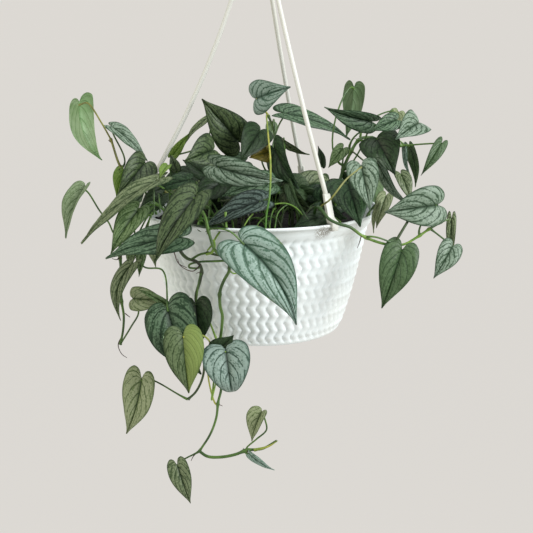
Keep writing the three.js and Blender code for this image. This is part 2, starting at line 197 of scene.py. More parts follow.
PLANT = {
    "tall_left": stem(1.5, "stem_olive", [
        (-66, -30, -40), (-72, -32, 0), (-95, -38, 22), (-118, -40, 34), (-135, -40, 43), (-147, -36, 74),
    ], leaves=[
        leaf(1, (-179, -24, 110), (-156, -38, 53), 202, "young_back", stalk="stem_olive", width=0.66,
             lean=-0.16, lobe=0.5, via=[(-155, -42, 91), (-168, -36, 109)]),
        leaf(0.8, (-146, -30, 85), (-110, -45, 53), -50, "frost", width=0.55),
        leaf(0.6, (-112, -48, 52), (-138, -72, 22), -15, "dusk", width=0.9),
        leaf(0.35, (-98, -82, 39), (-169, -105, -18), 50, "olive", width=0.37),
    ]),
    "left_low": stem(1.5, "stem_green", [
        (-86, -52, -40), (-90, -56, 0), (-104, -64, 14), (-120, -72, 4), (-132, -80, -12), (-135, -84, -30),
        (-134, -87, -43), (-134, -89, -78), (-132, -91, -93), (-133, -92, -108), (-136, -93, -122),
    ], leaves=[
        leaf(0.28, (-170, -62, 30), (-187, -85, -17), 42, "grey_green", width=0.62, fold=0.6, lobe=0.6,
             via=[(-139, -74, -16), (-147, -70, -4), (-156, -66, 7), (-167, -62, 24)]),
        leaf(0.3, (-115, -90, 13), (-140, -112, -27), 20, "moss", width=0.7),
        leaf(0.5, (-122, -104, -39), (-133, -106, -94), 15, "olive", width=0.4, lean=0.14),
        leaf(1, (-122, -98, -74), (-88, -100, -76), -8, "pale_olive", width=0.95, lobe=0.6,
             via=[(-125, -94, -104), (-117, -94, -89)]),
        leaf(0.42, (-87, -118, -78), (-55, -120, -144), 0, "sea", width=0.92, lean=0.06, lobe=0.8,
             via=[(-112, -94, -42), (-91, -108, -44)]),
    ]),
    "second": stem(1.5, "stem_dark", [
        (-66, -72, -40), (-70, -80, 0), (-78, -98, 10), (-80, -108, 2), (-74, -110, -14), (-73, -110, -25),
        (-67, -112, -31), (-58, -113, -34), (-54, -113, -40), (-55, -110, -51), (-60, -106, -70),
        (-58, -100, -94), (-54, -100, -124), (-54, -102, -150), (-61, -106, -166), (-69, -110, -173),
    ], leaves=[
        leaf(0.5, (-60, -112, -75), (-55, -115, -116), 12, "dark", width=1.1),
        leaf(1, (-114, -108, -152), (-130, -112, -208), 20, "pale_olive", width=0.8, lean=-0.07),
        leaf(0.3, (-72, -124, -8), (-143, -126, -28), 45, "sea", width=0.75),
    ]),
    "front": stem(1.5, "stem_green", [
        (-54, -78, -40), (-56, -84, 0), (-55, -98, 13), (-50, -114, 10), (-45, -126, -6), (-40, -130, -19),
        (-34, -131, -24), (-28, -130, -29), (-27, -128, -39), (-32, -126, -49), (-36, -124, -61),
        (-36, -122, -75), (-34, -121, -85), (-35, -120, -99), (-37, -118, -115), (-37, -116, -140),
        (-36, -116, -160), (-39, -118, -173), (-41, -118, -189), (-47, -118, -206), (-58, -118, -224),
    ], [
        (-59, -118, -223), (-50, -121, -228), (-37, -123, -228), (-23, -124, -225), (-11, -125, -220),
        (4, -126, -218), (18, -128, -209),
    ], leaves=[
        leaf(0.13, (4, -92, 21), (-53, -92, -6), 46, "night", width=0.68),
        leaf(0.28, (-16, -138, -9), (36, -146, -87), 0, "silver", width=0.72, lean=-0.09, lobe=0.66,
             via=[(-35, -133, 2), (-25, -138, 0)]),
        leaf(0.64, (-31, -134, -114), (-23, -152, -162), 0, "bright", stalk="stem_bright", width=1.17,
             lobe=0.9, tuck=1.9, via=[(-45, -126, -168), (-42, -126, -156), (-35, -130, -126)]),
        leaf(0.84, (-71, -136, -99), (-66, -138, -157), 0, "two_tone", stalk="stem_yellow", width=0.88,
             via=[(-49, -112, -144), (-44, -120, -125), (-48, -130, -105), (-58, -136, -99)]),
        leaf(1, (-80, -120, -237), (-67, -125, -276), 0, "olive", width=0.7),
        leaf(0.62, (4, -125, -180), (-6, -130, -209), 42, "pale_olive", route=1, width=0.95, fold=0.55,
             lobe=0.7, via=[(-2, -127, -208), (8, -125, -199), (7, -124, -190)]),
        leaf(0.58, (-8, -128, -223), (16, -132, -238), 30, "silver", route=1, width=0.45),
        leaf(0.18, (-58, -118, 31), (-95, -150, -27), 30, "dusk", width=0.66),
    ]),
    "right": stem(1.5, "stem_right", [
        (52, -70, -40), (54, -76, 0), (56, -90, 14), (60, -106, 15), (67, -117, 8), (75, -118, 4),
        (87, -116, 0), (99, -112, -9), (122, -108, -18), (139, -104, -19), (152, -100, -13), (165, -96, -5),
    ], leaves=[
        leaf(0.66, (137, -112, -22), (118, -120, -78), 0, "green", width=0.8),
        leaf(0.94, (172, -96, 18), (120, -104, 12), 0, "frost", width=0.98),
        leaf(1, (187, -86, 3), (189, -84, -41), 20, "slate", width=0.3),
        leaf(1, (187, -98, -22), (168, -110, -51), 0, "frost", width=0.85),
        leaf(0.36, (99, -82, 54), (106, -110, 15), 0, "frost", stalk="stem_olive", width=0.85,
             via=[(68, -108, 25), (84, -98, 43)]),
    ]),
    "upper_right": stem(1.7, "stem_green", [
        (72, -30, -40), (76, -32, 0), (82, -28, 30), (92, -20, 56), (104, -14, 72), (124, -6, 70),
        (147, 0, 63),
    ], leaves=[
        leaf(0.9, (159, -36, 90), (132, -75, 78), 12, "frost", width=0.8, fold=0.35, lobe=0.75),
        leaf(1, (185, -20, 68), (163, -35, 37), 0, "green", width=0.45),
        leaf(0.7, (117, -42, 76), (134, -62, 42), 0, "dark", width=1.25, lobe=0.5),
        leaf(0.5, (113, -30, 91), (65, -40, 106), -30, "sea", width=0.6, fold=0.6),
        leaf(0.98, (157, 10, 60), (163, 5, 19), 50, "green", width=0.5, lean=-0.15),
        leaf(0.52, (97, 0, 123), (89, -10, 72), 208, "grey_green", width=0.62, lobe=0.75),
        leaf(0.3, (88, -56, 34), (97, -110, -1), 0, "teal", width=0.95),
        leaf(0.62, (116, -72, 55), (147, -88, 14), 60, "frost", width=0.5, via=[(108, -36, 50),
             (112, -62, 50)]),
        leaf(0.8, (141, -50, 41), (150, -62, 15), -20, "olive", width=0.75),
    ]),
    "upper_mid": stem(1.6, "stem_green", [
        (6, -12, -40), (7, -12, 0), (12, -6, 35), (18, 0, 63), (14, 4, 83), (10, 8, 93),
    ], leaves=[
        leaf(1, (-3, 10, 110), (32, -30, 125), 0, "silver", stalk="stem_yellow", width=0.85),
        leaf(0.6, (26, 0, 96), (95, 10, 68), -50, "sea", width=0.52),
        leaf(0.55, (2, -20, 81), (-18, -60, 54), 0, "dark", width=0.8),
        leaf(0.45, (16, -35, 65), (40, -60, 28), 50, "teal"),
        leaf(0.35, (-40, -95, 55), (24, -75, 38), 30, "frost", width=0.6),
        leaf(0.4, (12, -64, 34), (-35, -76, 23), 34, "sea", width=0.85),
    ]),
    "upper_left": stem(1.6, "stem_green", [
        (-48, -12, -40), (-50, -12, 0), (-52, -10, 25), (-58, -8, 45), (-62, -6, 60),
    ], leaves=[
        leaf(0.8, (-20, -5, 67), (-57, -15, 112), 0, "dusk", width=0.9),
        leaf(0.7, (-44, -50, 65), (-71, -85, 58), 0, "dusk", width=1.05),
        leaf(1, (-89, 5, 52), (-70, 0, 77), 0, "young", width=0.45),
    ]),
    "back": stem(1.6, "stem_green", [
        (-10, 60, -40), (-12, 70, 0), (-14, 100, 13), (-16, 124, 8), (-18, 136, -10), (-16, 134, -50),
        (-8, 126, -100), (4, 118, -140), (8, 114, -170),
    ], leaves=[
        leaf(0.42, (-42, 132, 20), (-84, 148, -34), 200, "slate"),
        leaf(0.5, (14, 146, -50), (34, 152, -112), 170, "green"),
    ]),
}
SMALL_LEAVES = {
    "front_rim": [
        sprig((-52, -80, -8), (-59, -106, -1), (0, -118, -2), 62, "teal", width=0.5),
        sprig((40, -60, -12), (65, -80, 4), (33, -90, -6), 40, "dark", width=0.9),
        sprig((-88, -60, 5), (-88, -70, 52), (-95, -80, 41), 30, "young", width=0.9, fold=0.4),
        sprig((-80, -60, 4), (-67, -70, 38), (-99, -72, 28), 35, "teal", width=0.8),
        sprig((20, -40, 20), (31, -60, 31), (48, -95, 4), 40, "green", width=0.4, fold=0.5),
        sprig((-105, -75, 2), (-122, -84, -22), (-124, -90, -49), 20, "moss", width=0.6),
        sprig((-103, -72, 4), (-108, -82, -19), (-100, -84, -47), -30, "pale_olive", width=0.5),
        sprig((-100, -70, 4), (-114, -86, -24), (-116, -92, -54), -20, "moss", width=0.5),
        sprig((-38, -120, -114), (-39, -128, -117), (-23, -132, -101), 10, "dark", width=1.3),
        sprig((-87, -98, -89), (-89, -106, -78), (-117, -104, -63), 30, "moss", width=0.35, fold=0.5),
    ],
    "crown_left": [
        sprig((-112, -40, 14), (-134, -42, 44), (-141, -52, 18), 10, "young", width=0.8),
        sprig((-58, -8, 40), (-53, 10, 90), (-77, 5, 63), 50, "slate", width=0.45),
        sprig((-60, -20, 10), (-83, -30, 42), (-89, -25, 57), 20, "dusk", width=0.9),
        sprig((-50, -20, 10), (-54, -30, 37), (-77, -20, 51), 30, "dark", width=0.9),
        sprig((-60, -10, 12), (-70, 10, 30), (-104, 6, 22), 30, "dark"),
        sprig((-40, -30, 10), (-38, -40, 30), (-66, -60, 12), 20, "dark"),
        sprig((-30, -10, 12), (-30, -10, 40), (-12, -30, 22), 10, "dusk"),
        sprig((-80, -30, 8), (-95, -46, 20), (-120, -60, -6), 30, "dark", width=0.9),
        sprig((-84, -20, 8), (-100, -6, 24), (-132, -4, 0), 40, "teal", width=0.9),
    ],
    "crown_middle": [
        sprig((12, -14, 30), (10, -30, 60), (-9, -42, 56), 10, "fading", width=1.3),
        sprig((16, 2, 60), (14, 60, 79), (13, 50, 62), 170, "slate", width=0.9),
        sprig((30, 20, 10), (26, 60, 61), (55, 60, 46), 70, "slate", width=0.8),
        sprig((20, 0, 30), (16, -20, 44), (40, -40, 30), 30, "dark", width=0.8),
        sprig((0, -30, 8), (0, -46, 26), (-30, -66, 8), 30, "dark"),
        sprig((20, -30, 8), (26, -50, 22), (54, -72, 8), 30, "dusk", width=0.9),
        sprig((-10, 10, 10), (-14, 20, 44), (-44, 14, 30), 20, "teal"),
    ],
    "crown_right": [
        sprig((92, -14, 60), (135, -58, 95), (109, -66, 85), 10, "sea", width=0.85),
        sprig((104, -4, 72), (146, 30, 94), (138, 30, 72), 10, "pale_olive", width=1),
        sprig((124, 0, 70), (150, 0, 61), (158, 0, 29), 60, "silver", width=0.35),
        sprig((110, -50, -2), (126, -60, 21), (115, -80, -8), 20, "pale_olive", width=0.6),
        sprig((108, -55, -2), (117, -70, 13), (113, -75, -14), 50, "pale_olive", width=0.4),
        sprig((84, -24, 34), (85, -30, 64), (70, -35, 45), 10, "moss", width=0.8),
        sprig((70, -10, 12), (65, 0, 42), (61, 0, 63), 30, "dark", width=0.7),
        sprig((80, -30, 10), (86, -26, 30), (112, -36, 6), 30, "dark"),
        sprig((70, -30, 6), (64, -50, 12), (86, -84, 2), 40, "teal"),
    ],
}

# Distance between the rings of a stem's mesh.
STEM_STEP = 1.6

# Thin brown roots in the air, as points along each.
ROOTS = [
    [(-54, -101, -84), (-53, -106, -80), (-50, -106, -82), (-48, -103, -88), (-46, -102, -92)],
    [(-133, -92, -112), (-138, -93, -122), (-135, -92, -132), (-130, -92, -136)],
    [(-133, -86, -34), (-137, -90, -37), (-142, -90, -36)],
    [(-134, -82, -16), (-139, -86, -12)],
    [(-131, -87, -92), (-126, -90, -95)],
    [(-146, -36, 70), (-149, -38, 73)],
    [(-54, -114, -36), (-62, -118, -42), (-74, -118, -36), (-76, -118, -30)],
    [(-80, -108, -26), (-76, -110, -36), (-68, -112, -40)],
    [(98, -113, -8), (96, -115, -15), (94, -116, -20)],
    [(-60, -118, -225), (-64, -119, -229), (-66, -120, -233)],
]
# The middle of a patch of thin brown roots on the soil.
FIBRES = Vector((52, 58, -10))

# Bare shoots and loops that the CAD model leaves out: finish, first and last radius, points along each.
SHOOTS = [
    ("stem_tall", 1.0, 0.8, [(7, -112, -7), (8, -108, 10), (11, -104, 27), (12, -84, 55), (10, -50, 77),
     (8, -14, 95)]),
    ("stem_green", 1.3, 1.1, [(-76, -104, -18), (-75, -108, -23), (-71, -110, -29), (-65, -112, -32),
     (-56, -114, -27), (-49, -114, -25)]),
    ("stem_bright", 1.5, 1.3, [(-42, -120, -11), (-41, -120, -18), (-44, -118, -24), (-49, -116, -26)]),
    ("stem_dark", 1.2, 1.0, [(-49, -115, -24), (-42, -116, -26), (-33, -117, -28), (-28, -118, -32),
     (-28, -118, -40)]),
    ("stem_green", 1.2, 0.9, [(-27, -116, -32), (-41, -115, -33), (-55, -113, -34), (-65, -111, -37),
     (-66, -110, -40), (-60, -110, -41), (-55, -111, -40)]),
    ("stem_bright", 0.8, 0.7, [(-28, -112, -42), (-23, -111, -46), (-18, -110, -44)]),
    ("stem_bright", 1.0, 0.8, [(-34, -114, -2), (-39, -114, -9), (-44, -114, -18), (-48, -114, -23)]),
    ("stem_bright", 0.8, 1.2, [(-48, -112, -90), (-43, -118, -101), (-38, -122, -113)]),
    ("stem_bright", 0.8, 0.7, [(4, -86, 13), (11, -88, 16), (26, -88, 18), (36, -88, 14), (43, -90, 7)]),
    ("stem_green", 0.8, 0.7, [(-102, -70, 38), (-101, -78, 23), (-101, -84, 7)]),
    ("stem_green", 0.8, 0.7, [(-97, -72, 25), (-96, -76, 18), (-95, -82, 8)]),
    ("stem_bright", 1.3, 1.2, [(-31, -96, 11), (-31, -98, 6), (-30, -104, -3)]),
    ("stem_bright", 1.0, 0.6, [(-5, -100, 10), (-9, -104, 6), (-13, -108, 0)]),
    ("stem_dark", 1.2, 1.4, [(144, -104, 6), (138, -108, -3), (132, -112, -12)]),
    ("stem_green", 0.9, 0.8, [(62, -60, 10), (70, -80, 6), (79, -100, 2)]),
    ("stem_yellow", 1.7, 0.3, [(-4, -127, -219), (3, -128, -217), (11, -129, -214), (19, -130, -208)]),
    ("stem_dark", 0.8, 0.7, [(-83, -90, -2), (-79, -86, 7), (-69, -80, 13), (-60, -84, 9)]),
    ("stem_green", 0.8, 0.7, [(16, -100, -4), (20, -84, 9), (31, -76, 15), (40, -90, 8)]),
]


def smooth(low, high, value):
    """0 below low, 1 above high, and eased between them."""
    share = min(1, max(0, (value - low) / (high - low)))
    return share * share * (3 - 2 * share)


def through(points, samples):
    """Points on a centripetal curve through the given ones, evenly spaced in its own parameter."""
    points = [Vector(p) for p in points]
    last = len(points) - 1
    before = 2 * points[0] - points[1]
    after = 2 * points[last] - points[last - 1]
    chain = [before, *points, after]
    result = []
    for step in range(samples + 1):
        place = step / samples * last
        span = min(int(place), last - 1)
        t = place - span
        p0, p1, p2, p3 = chain[span:span + 4]
        d0, d1, d2 = ((b - a).length ** 0.5 or 1 for a, b in ((p0, p1), (p1, p2), (p2, p3)))
        leaving = ((p1 - p0) / d0 - (p2 - p0) / (d0 + d1) + (p2 - p1) / d1) * d1
        arriving = ((p2 - p1) / d1 - (p3 - p1) / (d1 + d2) + (p3 - p2) / d2) * d1
        result.append(
            p1 * (2 * t ** 3 - 3 * t ** 2 + 1) + leaving * (t ** 3 - 2 * t ** 2 + t)
            + p2 * (3 * t ** 2 - 2 * t ** 3) + arriving * (t ** 3 - t ** 2)
        )
    return result


def bezier(points, samples):
    """Points on one Bezier curve of any degree."""
    result = []
    for step in range(samples + 1):
        row = [Vector(p) for p in points]
        while len(row) > 1:
            row = [a.lerp(b, step / samples) for a, b in zip(row, row[1:])]
        result.append(row[0])
    return result


def even(path, spacing):
    """The same path with points a steady distance apart."""
    lengths = [0]
    for a, b in zip(path, path[1:]):
        lengths.append(lengths[-1] + (b - a).length)
    count = max(2, round(lengths[-1] / spacing))
    result = []
    span = 0
    for step in range(count + 1):
        wanted = lengths[-1] * step / count
        while span < len(path) - 2 and lengths[span + 1] < wanted:
            span += 1
        share = (wanted - lengths[span]) / max(1e-9, lengths[span + 1] - lengths[span])
        result.append(path[span].lerp(path[span + 1], min(1, share)))
    return result


def polar(radius, angle, height=0):
    """The point at a radius and an angle round the pot's axis."""
    return Vector((radius * math.cos(angle), radius * math.sin(angle), height))


def drape(bm, across, along, place, material=0):
    """A grid carried to place(x, y) for x and y from 0 to 1, with its seams and poles merged."""
    known = set(bm.faces)
    made = bmesh.ops.create_grid(bm, x_segments=across, y_segments=along, size=0.5, calc_uvs=True)["verts"]
    faces = [face for face in bm.faces if face not in known]
    for vertex in made:
        vertex.co = place(vertex.co.x + 0.5, vertex.co.y + 0.5)
    for face in faces:
        face.material_index = material
    bmesh.ops.remove_doubles(bm, verts=made, dist=SEAM)
    return [face for face in faces if face.is_valid]


def sweep(bm, path, radius, sides, material=0):
    """A closed round tube along a path; radius is a number or a function of the share of its length."""
    last = len(path) - 1
    tangents = [(path[min(i + 1, last)] - path[max(i - 1, 0)]).normalized() for i in range(last + 1)]
    side = tangents[0].orthogonal().normalized()
    frames = []
    for tangent in tangents:
        side = (side - tangent * side.dot(tangent)).normalized()
        frames.append((side, tangent.cross(side)))
    size = radius if callable(radius) else lambda share: radius

    def place(x, y):
        row = round(y * (last + 2)) - 1
        spot = min(last, max(0, row))
        reach = 0 if row in (-1, last + 1) else size(spot / last)
        angle = round(x * sides) % sides / sides * math.tau
        right, up = frames[spot]
        return path[spot] + (right * math.cos(angle) + up * math.sin(angle)) * reach

    return drape(bm, sides, last + 2, place, material)


def turned(bm, profile, segments, push=None):
    """A surface of revolution from (radius, height) rows, where push may move a point off the axis."""
    rows = len(profile) - 1

    def place(x, y):
        row = round(y * rows)
        radius, height = profile[row]
        angle = round(x * segments) % segments / segments * math.tau
        if radius <= AXIS:
            radius = 0
        elif push:
            radius, height = push(angle, radius, height, row)
        return polar(radius, angle, height)

    return drape(bm, segments, rows, place)


def new_mesh():
    bm = bmesh.new()
    bm.loops.layers.uv.new("blade")
    return bm


def new_object(name, bm, materials):
    mesh = bpy.data.meshes.new(name)
    bm.to_mesh(mesh)
    bm.free()
    for material in materials:
        mesh.materials.append(material)
    made = bpy.data.objects.new(name, mesh)
    bpy.context.scene.collection.objects.link(made)
    return made


def finish_piece(name, bm, materials, slot, *nodes, shift=RIM, sharp=0.7):
    """The bmesh, in millimetres, becomes a piece that rides on the body and stands for CAD nodes.

    Edges that turn by more than sharp, in radians, stay crisp."""
    for edge in bm.edges:
        edge.smooth = edge.calc_face_angle(0) < sharp
    for face in bm.faces:
        face.smooth = True
    bm.transform(Matrix.Scale(MM, 4) @ Matrix.Translation(shift))
    piece = new_object(name, bm, materials)
    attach(piece, "root")
    if nodes:
        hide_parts(*nodes)


class Value:
    """A shader socket whose operators add the Math node that works them out."""

    def __init__(self, paint, socket):
        self.paint = paint
        self.socket = socket

    def math(self, operation, *others, first=None):
        values = [self if first is None else first, *others]
        return self.paint.node("ShaderNodeMath", {"operation": operation}, dict(enumerate(values)))

    def __add__(self, other):
        return self.math("ADD", other)

    __radd__ = __add__

    def __mul__(self, other):
        return self.math("MULTIPLY", other)

    __rmul__ = __mul__

    def __sub__(self, other):
        return self.math("SUBTRACT", other)

    def __rsub__(self, other):
        return self.math("SUBTRACT", self, first=other)

    def __pow__(self, other):
        return self.math("POWER", other)

    def __abs__(self):
        return self.math("ABSOLUTE")

    def fraction(self):
        return self.math("FRACT")

    def between(self, low, high):
        """0 where this is below low, 1 above high, eased between; low may be above high."""
        sockets = {"Value": self, "From Min": low, "From Max": high}
        return self.paint.node("ShaderNodeMapRange", {"interpolation_type": "SMOOTHSTEP"}, sockets)


class Paint:
    """A material being mixed. node() adds a node and gives back its first output."""

    def __init__(self, name, roughness=0.5):
        self.material = bpy.data.materials.new(name)
        self.material.use_nodes = True
        self.tree = self.material.node_tree
        self.surface = self.tree.nodes["Principled BSDF"]
        self.surface.inputs["Roughness"].default_value = roughness

    def node(self, kind, settings=None, sockets=None, output=0):
        made = self.tree.nodes.new(kind)
        for key, setting in (settings or {}).items():
            setattr(made, key, setting)
        for key, value in (sockets or {}).items():
            self.feed(made.inputs[key], value)
        return Value(self, made.outputs[output])

    def feed(self, target, value):
        if isinstance(value, Value):
            self.tree.links.new(value.socket, target)
        else:
            target.default_value = value

    def set(self, name, value):
        self.feed(self.surface.inputs[name], value)

    def place(self):
        return self.node("ShaderNodeTexCoord", output="Object")

    def noise(self, place, scale, detail):
        sockets = {"Vector": place, "Scale": scale, "Detail": detail}
        return self.node("ShaderNodeTexNoise", sockets=sockets)

    def axis(self, vector, name):
        parts = self.tree.nodes.new("ShaderNodeSeparateXYZ")
        self.feed(parts.inputs[0], vector)
        return Value(self, parts.outputs[name])

    def mix(self, share, one, other):
        mixer = self.tree.nodes.new("ShaderNodeMix")
        mixer.data_type = "RGBA"
        self.feed(mixer.inputs["Factor"], share)
        self.feed(mixer.inputs[6], one)
        self.feed(mixer.inputs[7], other)
        return Value(self, mixer.outputs[2])

    def bump(self, height, depth, strength=1.0):
        sockets = {"Height": height, "Distance": depth, "Strength": strength}
        self.set("Normal", self.node("ShaderNodeBump", sockets=sockets))


def blade_pattern(paint):
    """How far a point is across the blade, its side, and its place from vein to vein, all from the UV map."""
    uv = paint.node("ShaderNodeUVMap", {"uv_map": "blade"})
    side = paint.axis(uv, "X") * 2 - 1
    across = abs(side)
    return side, across, paint.axis(uv, "Y") - across ** SWEEP_POWER * VEIN_SWEEP


def blade_material(name, look, half):
    """Silver panels between dark veins that leave the midrib and sweep forward to a green margin.

    Where half is given, one half of the blade has its two colours instead."""
    panel, ground, vein, cover, spread, _ = look
    paint = Paint(name, 0.42)
    side, across, run = blade_pattern(paint)
    place = paint.place()
    coarse = paint.noise(place, 70.0, 2.0)
    fine = paint.noise(place, 520.0, 3.0)
    axes = paint.node("ShaderNodeCombineXYZ", sockets={0: run * 30, 1: side * 4, 2: 0.0})
    own = paint.node("ShaderNodeVectorMath", {"operation": "MULTIPLY_ADD"},
                     {0: place, 1: (25.0, 25.0, 25.0), 2: axes})
    streaks = paint.noise(own, 1.0, 3.0)
    crest = abs(((run + (coarse - 0.5) * 0.06) * VEIN_COUNT).fraction() * 2 - 1)
    veins = (crest + (fine - 0.5) * 0.3 - (0.86 + across * 0.06)).between(0, 0.08)
    ragged = (streaks - 0.5) * 1.5 + (fine - 0.5) * 0.5
    halo = (crest + ragged).between(1 - 0.6 * spread, 1.07 - 0.5 * spread)
    level = 0.46 + 0.2 * (cover - 0.5)
    speckle = (streaks * 0.5 + fine * 0.5).between(level, level + 0.05)
    wavering = across + (streaks - 0.5) * 0.2
    beside, margin = wavering.between(0.2, 0.05), wavering.between(0.84, 0.97)
    midrib, edge = across.between(0.07, 0.03), across.between(0.95, 0.985)
    surface = panel
    for share in (speckle * 0.75, fine.between(0.3, 0.7) * 0.22, halo * 0.9, margin * 0.8, beside * 0.7):
        surface = paint.mix(share, surface, ground)
    for share in (veins * 0.75, midrib * 0.7, edge * 0.6):
        surface = paint.mix(share, surface, vein)
    if half:
        lines = (run * VEIN_COUNT * 2).fraction().between(0.75, 0.97) * 0.55 + across.between(0.7, 1) * 0.3
        surface = paint.mix(side.between(0.02, -0.02), surface, paint.mix(lines, *half))
    paint.set("Base Color", surface)
    paint.set("Roughness", 0.44 + veins * 0.1)
    paint.set("Specular IOR Level", 0.3)
    paint.bump(fine - veins * 0.6, 0.0005, 0.6)
    return paint.material


def underside_material(name, look):
    """The pale underside, with the same veins a little darker."""
    panel, ground, vein = look
    paint = Paint(name, 0.5)
    _, across, run = blade_pattern(paint)
    place = paint.place()
    coarse = paint.noise(place, 60.0, 2.0)
    veins = abs((run * VEIN_COUNT).fraction() * 2 - 1).between(0.74, 0.98)
    surface = paint.mix(coarse.between(0.35, 0.65), panel, ground)
    surface = paint.mix(veins * 0.5, surface, vein)
    surface = paint.mix(across.between(0.09, 0.03) * 0.5, surface, vein)
    paint.set("Base Color", surface)
    paint.set("Specular IOR Level", 0.3)
    paint.bump(veins, 0.0004, 0.5)
    return paint.material


def stem_material(name, light, deep):
    paint = Paint(name, 0.42)
    place = paint.place()
    patches = paint.noise(place, 70.0, 3.0).between(0.36, 0.64)
    surface = paint.mix(patches, light, deep)
    if name in FADES:
        axis, start, end, far = FADES[name]
        surface = paint.mix(paint.axis(place, axis).between(start, end), surface, far)
    paint.set("Base Color", surface)
    paint.bump(paint.noise(place, 900.0, 2.0), 0.0002, 0.4)
    return paint.material


def plastic_material(name, white, shade):
    """White plastic, a little uneven, with a brownish patch just under the lip below the right clip."""
    paint = Paint(name, 0.42)
    place = paint.place()
    broad = paint.noise(place, 14.0, 3.0)
    fine = paint.noise(place, 700.0, 2.0)
    surface = paint.mix(broad.between(0.35, 0.8) * 0.5, white, shade)
    spot = paint.node("ShaderNodeVectorMath", {"operation": "DISTANCE"},
                      {0: place, 1: (0.064, -0.104, -0.353)}, output="Value")
    # A darker brownish patch on the plastic, just under the lip below the right clip.
    brown_patch = (spot + (broad - 0.5) * 0.012).between(0.013, 0.004)
    surface = paint.mix(brown_patch * fine.between(0.35, 0.6) * 0.75, surface, colour(116, 104, 84))
    paint.set("Base Color", surface)
    paint.set("Roughness", 0.38 + broad * 0.12)
    paint.bump(fine, 0.0002, 0.35)
    return paint.material


def soil_material(name, dark, light):
    paint = Paint(name, 0.95)
    place = paint.place()
    grains = paint.noise(place, 380.0, 4.0)
    paint.set("Base Color", paint.mix(grains.between(0.5, 0.72), dark, light))
    paint.bump(grains, 0.002, 0.9)
    return paint.material


FINISHES = {}


def finish(name, make, *arguments):
    """The material of that name, made the first time it is asked for."""
    if name not in FINISHES:
        FINISHES[name] = make(name, *arguments)
    return FINISHES[name]


def stem_finish(name):
    return finish(name, stem_material, *STEMS[name])


def white_plastic():
    white = bpy.context.scene.plant_pot.white
    return finish("white_plastic", plastic_material, (*white, 1), colour(222, 224, 216))


def leaf_materials(spec):
    look = LOOKS[spec["look"]]
    half = YELLOW_HALF if spec["look"] == "two_tone" else None
    return [
        finish("blade_" + spec["look"], blade_material, look, half),
        finish(look[-1], underside_material, UNDERSIDES[look[-1]]),
        stem_finish(spec["stalk"]),
    ]


def outline_rows(rows):
    """For each row, the outline's point and the height on the midrib that it is joined to."""
    edges = through([(x, y, 0) for x, y in OUTLINE], rows)
    result = []
    for row, edge in enumerate(edges):
        share = row / rows
        if share < LOBE_SHARE:
            vein = 0.05 * share / LOBE_SHARE
        else:
            vein = 0.05 + 0.95 * ((share - LOBE_SHARE) / (1 - LOBE_SHARE)) ** 1.15
        result.append((edge.x, edge.y, vein))
    return result


def leaf_axes(spec):
    """A blade's heart, the way to its tip, the way that its upper face looks, the way across, its length."""
    heart = Vector(spec["heart"])
    along = Vector(spec["tip"]) - heart
    length = along.length
    along = along / length
    face = (FRONT - along * FRONT.dot(along)).normalized()
    face = Matrix.Rotation(math.radians(spec["turn"]), 3, along) @ face
    return heart, along, face, along.cross(face), length


LEAF_ACROSS = 22
LEAF_ROWS = 36
ROWS = outline_rows(LEAF_ROWS)
# The rise of a blade's middle, and where a tucked tip starts to turn back, as shares of its length.
ARCH = 0.07
TUCK_FROM = 0.55
# What a blade with no turn faces: towards the photo's camera and a little up.
FRONT = Vector((0, -math.cos(math.radians(10)), math.sin(math.radians(10))))


def add_blade(bm, spec, settings):
    """A blade arched along its length, folded at the midrib and quilted between its veins."""
    heart, along, face, across, length = leaf_axes(spec)
    shape = spec["shape"]
    width = shape.get("width", 1)
    fold = shape.get("fold", 0.18)
    lean = shape.get("lean", 0)
    tuck = shape.get("tuck", 0)
    lobe = shape.get("lobe", 1)
    seed = heart * 0.37

    def place(x, y):
        lower = x > 0.5
        side = 2 * (2 * x if x <= 0.5 else 2 - 2 * x) - 1
        off = abs(side)
        row = round(y * LEAF_ROWS)
        edge_x, edge_y, vein = ROWS[row]
        edge_y *= lobe if edge_y < 0 else 1
        height = vein + off * (edge_y - vein)
        half = side * edge_x * width
        bow = 4 * height * (1 - height)
        phase = (y - VEIN_SWEEP * off ** SWEEP_POWER) * VEIN_COUNT
        quilt = abs(math.sin(math.pi * phase)) ** 0.7 * smooth(0, 0.25, off) * smooth(1, 0.8, off)
        groove = math.exp(-((off / 0.07) ** 2))
        wave = math.sin(13 * y + seed.x) * off ** 3 * edge_x
        rise = ARCH * bow + fold * abs(half) + 0.22 * edge_x * width * off * (1 - off)
        rise += settings.quilting * (quilt - 0.5) - 0.008 * groove + settings.waviness * wave
        rise += 0.01 * noise.noise(Vector((half * 5, height * 5, seed.y)))
        past = max(0, height - TUCK_FROM)
        if tuck and past:
            bend = past * tuck / (1 - TUCK_FROM)
            rise -= past * (1 - math.cos(bend)) / bend
            height = TUCK_FROM + past * math.sin(bend) / bend
        spot = heart + across * ((half + lean * bow) * length) + along * (height * length)
        skin = 0 if row in (0, LEAF_ROWS) else settings.thickness / MM / 2 * (1 - off ** 6)
        return spot + face * (rise * length + (-skin if lower else skin))

    layer = bm.loops.layers.uv["blade"]
    for skin in drape(bm, 2 * LEAF_ACROSS, LEAF_ROWS, place):
        middle = sum(loop[layer].uv.x for loop in skin.loops) / len(skin.loops)
        skin.material_index = 1 if middle > 0.5 else 0
        for loop in skin.loops:
            loop[layer].uv.x = 1 - abs(2 * loop[layer].uv.x - 1)


